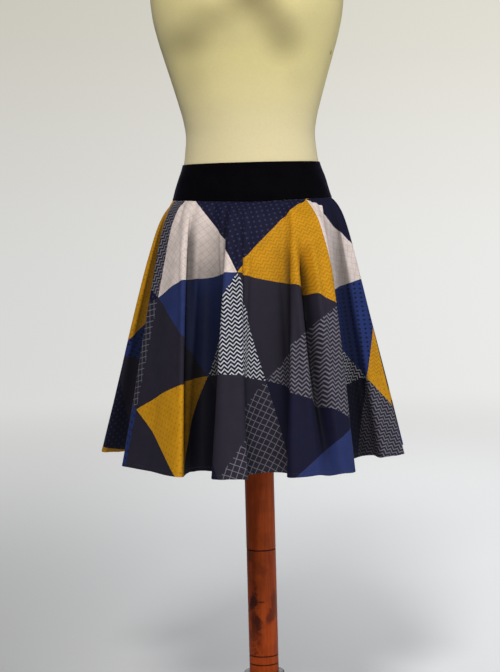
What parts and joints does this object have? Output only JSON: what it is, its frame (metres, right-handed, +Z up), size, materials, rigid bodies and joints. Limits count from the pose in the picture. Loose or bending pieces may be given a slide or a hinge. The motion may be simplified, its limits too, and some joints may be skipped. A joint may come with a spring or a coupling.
{
  "type": "circle skirt on dress form",
  "caption": "Flared circle skirt with deep flutes and a wide stretch waistband, worn by a limbless dress form on a turned wooden stand.",
  "frame": {"origin": "middle of the underside of the stand's base, on the floor", "axes": "+Z up along the pole, the garment's front at -Y, its wearer's left at +X"},
  "size_m": [0.5728, 0.6018, 1.59],
  "materials": {
    "printed_cloth": null,
    "black_velvet": "black stretch velvet with a short nap",
    "cream_jersey": "cream cotton jersey stretched smooth",
    "varnished_wood": "reddish brown stain under satin varnish",
    "dark_collar": "dark grey paint, satin"
  },
  "bodies": {
    "root": {"skirt_front": "printed_cloth", "skirt_back": "printed_cloth", "waistband": "black_velvet", "form_torso": "cream_jersey", "pole": "varnished_wood", "base": "varnished_wood", "pole_collar": "dark_collar"}
  },
  "joints": []
}
